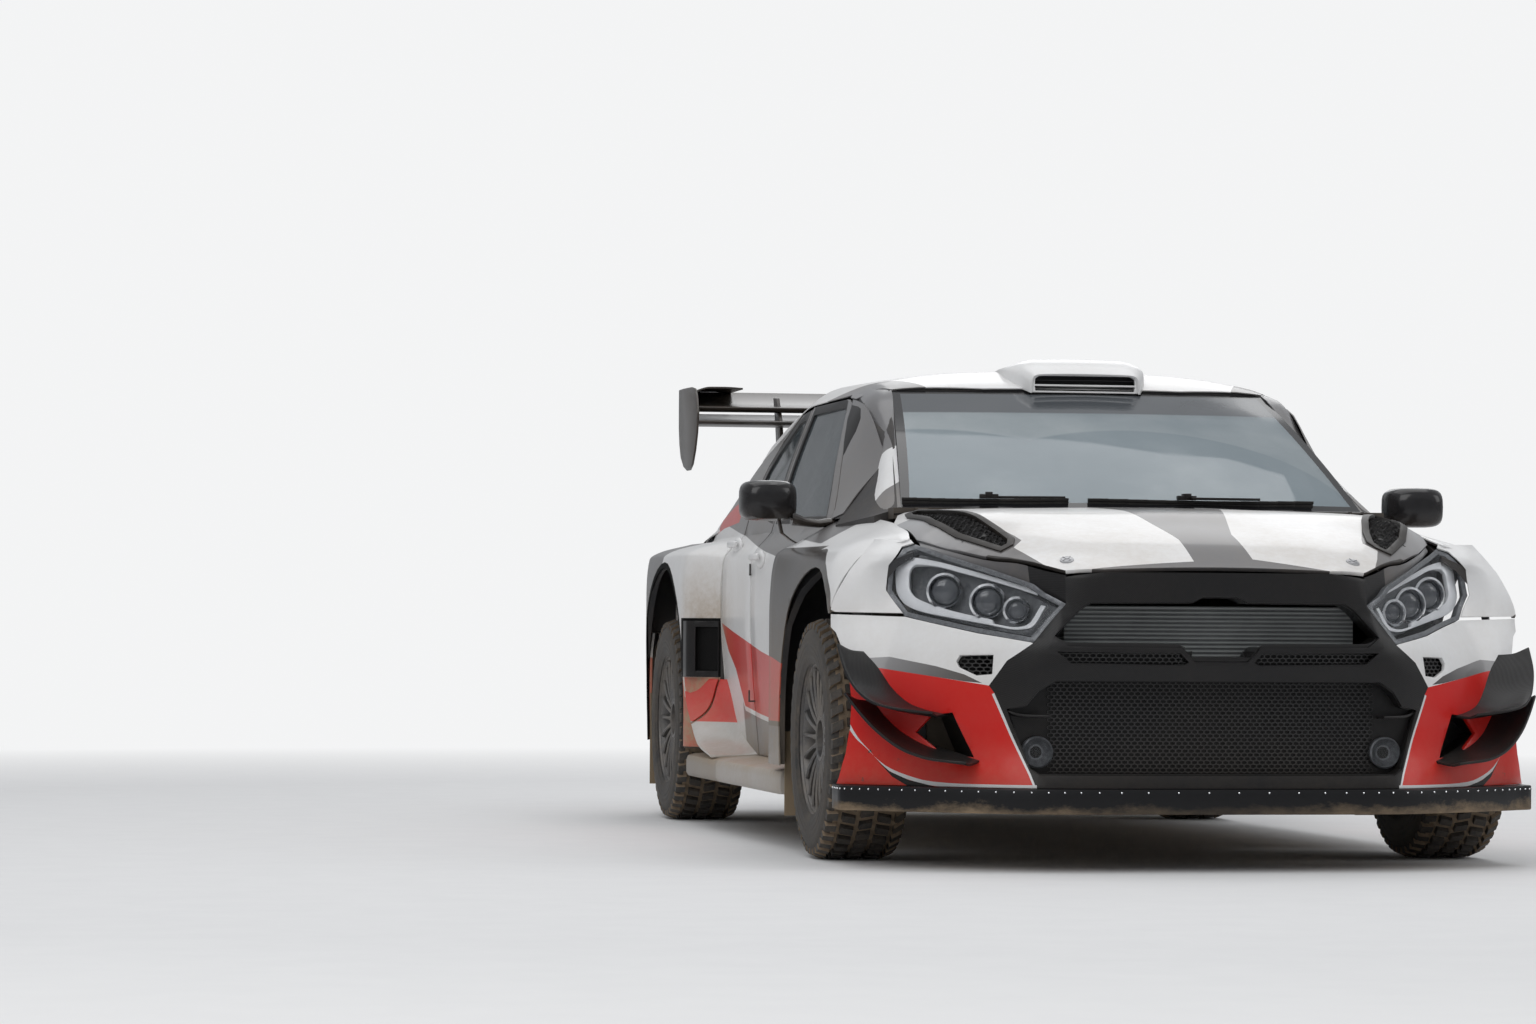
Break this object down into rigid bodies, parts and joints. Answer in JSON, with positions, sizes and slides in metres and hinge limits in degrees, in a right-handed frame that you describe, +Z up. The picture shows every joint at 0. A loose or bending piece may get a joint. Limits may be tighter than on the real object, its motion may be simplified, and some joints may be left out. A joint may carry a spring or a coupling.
{
  "type": "rally car",
  "caption": "Four-door rally hatchback with wide arches, front splitter, roof scoop and high rear wing; wheels roll and steer, doors, bonnet and tailgate open.",
  "frame": {"origin": "ground level under the middle of the car's bounding box", "axes": "-Y is the way the car drives, +X is the car's left side, +Z is up"},
  "size_m": [2.05, 4.1, 1.4239],
  "materials": {
    "paint_white": "gloss white body paint with grey, black and red fields, dusty low down",
    "satin_black": "satin black composite with dust",
    "red_black": "gloss red bumper corners under black composite",
    "dark_metal": "satin black painted steel",
    "bare_floor": "dull grey floor sheet with dirt",
    "mesh_black": "black hexagonal mesh",
    "core_grey": "dull finned aluminium core",
    "lamp_clear": "clear lamp cover over dark housing",
    "lamp_red": "red lamp cover",
    "screen_glass": "laminated glass with grey top band",
    "tyre_rubber": "black rubber with dry mud",
    "rim_grey": "gunmetal painted alloy with dust",
    "upright_alloy": "machined alloy, dirty",
    "engine_grey": "plain block",
    "flap_rubber": "rubber sheet caked with mud",
    "seat_shell": "dark composite shell with cloth pads",
    "cage_paint": "painted steel tube",
    "exhaust_steel": "heat tinted steel"
  },
  "bodies": {
    "chassis": {"body_shell": "paint_white", "canards": "satin_black", "dashboard": "satin_black", "drivetrain": "dark_metal", "engine_block": "engine_grey", "exhaust": "exhaust_steel", "floor_pan": "bare_floor", "front_bumper": "red_black", "front_cell": "dark_metal", "front_wing_left": "paint_white", "front_wing_right": "paint_white", "grille_bar": "satin_black", "grille_mesh": "mesh_black", "headlamps": "lamp_clear", "mud_flaps": "flap_rubber", "radiator": "core_grey", "rear_bumper": "red_black", "rear_cell": "dark_metal", "roll_cage": "cage_paint", "roof_scoop": "paint_white", "seats": "seat_shell", "side_skirts": "paint_white", "splitter": "satin_black", "suspension_arms": "dark_metal", "tail_lamps": "lamp_red", "uprights_rear": "upright_alloy", "windscreen": "screen_glass", "wipers": "satin_black"},
    "bonnet_lid": {"bonnet": "paint_white"},
    "front_door_left": {"front_door_left": "paint_white", "front_glass_left": "screen_glass", "mirror_left": "satin_black"},
    "front_door_right": {"front_door_right": "paint_white", "front_glass_right": "screen_glass", "mirror_right": "satin_black"},
    "rear_door_left": {"rear_door_left": "paint_white", "rear_glass_left": "screen_glass"},
    "rear_door_right": {"rear_door_right": "paint_white", "rear_glass_right": "screen_glass"},
    "tail_lid": {"tailgate": "paint_white", "tailgate_glass": "screen_glass", "rear_wing": "satin_black"},
    "steer_left": {"upright_front_left": "upright_alloy"},
    "steer_right": {"upright_front_right": "upright_alloy"},
    "roll_front_left": {"tyre_front_left": "tyre_rubber", "wheel_front_left": "rim_grey"},
    "roll_front_right": {"tyre_front_right": "tyre_rubber", "wheel_front_right": "rim_grey"},
    "roll_rear_left": {"tyre_rear_left": "tyre_rubber", "wheel_rear_left": "rim_grey"},
    "roll_rear_right": {"tyre_rear_right": "tyre_rubber", "wheel_rear_right": "rim_grey"}
  },
  "joints": [
    {"name": "steer_left", "type": "hinge", "parent": "chassis", "child": "steer_left", "pos_m": [0.74, -1.26, 0.2], "axis": [-0.1961, 0, 0.9806], "range_deg": [-25, 25]},
    {"name": "front_door_left_open", "type": "hinge", "parent": "chassis", "child": "front_door_left", "pos_m": [0.8375, -0.663, 0.6], "axis": [0, 0, -1], "range_deg": [0, 65]},
    {"name": "rear_door_left_open", "type": "hinge", "parent": "chassis", "child": "rear_door_left", "pos_m": [0.8375, 0.238, 0.6], "axis": [0, 0, -1], "range_deg": [0, 60]},
    {"name": "steer_right", "type": "hinge", "parent": "chassis", "child": "steer_right", "pos_m": [-0.74, -1.26, 0.2], "axis": [0.1961, 0, 0.9806], "range_deg": [-25, 25]},
    {"name": "front_door_right_open", "type": "hinge", "parent": "chassis", "child": "front_door_right", "pos_m": [-0.8375, -0.663, 0.6], "axis": [0, 0, 1], "range_deg": [0, 65]},
    {"name": "rear_door_right_open", "type": "hinge", "parent": "chassis", "child": "rear_door_right", "pos_m": [-0.8375, 0.238, 0.6], "axis": [0, 0, 1], "range_deg": [0, 60]},
    {"name": "bonnet_open", "type": "hinge", "parent": "chassis", "child": "bonnet_lid", "pos_m": [0, -1.204, 0.942], "axis": [-1, 0, 0], "range_deg": [0, 60]},
    {"name": "tailgate_open", "type": "hinge", "parent": "chassis", "child": "tail_lid", "pos_m": [0, 1.125, 1.266], "axis": [1, 0, 0], "range_deg": [0, 70]},
    {"name": "front_left_roll", "type": "hinge", "parent": "steer_left", "child": "roll_front_left", "pos_m": [0.82, -1.26, 0.322], "axis": [1, 0, 0], "continuous": true},
    {"name": "front_right_roll", "type": "hinge", "parent": "steer_right", "child": "roll_front_right", "pos_m": [-0.82, -1.26, 0.322], "axis": [1, 0, 0], "continuous": true},
    {"name": "rear_left_roll", "type": "hinge", "parent": "chassis", "child": "roll_rear_left", "pos_m": [0.82, 1.31, 0.322], "axis": [1, 0, 0], "continuous": true},
    {"name": "rear_right_roll", "type": "hinge", "parent": "chassis", "child": "roll_rear_right", "pos_m": [-0.82, 1.31, 0.322], "axis": [1, 0, 0], "continuous": true}
  ]
}
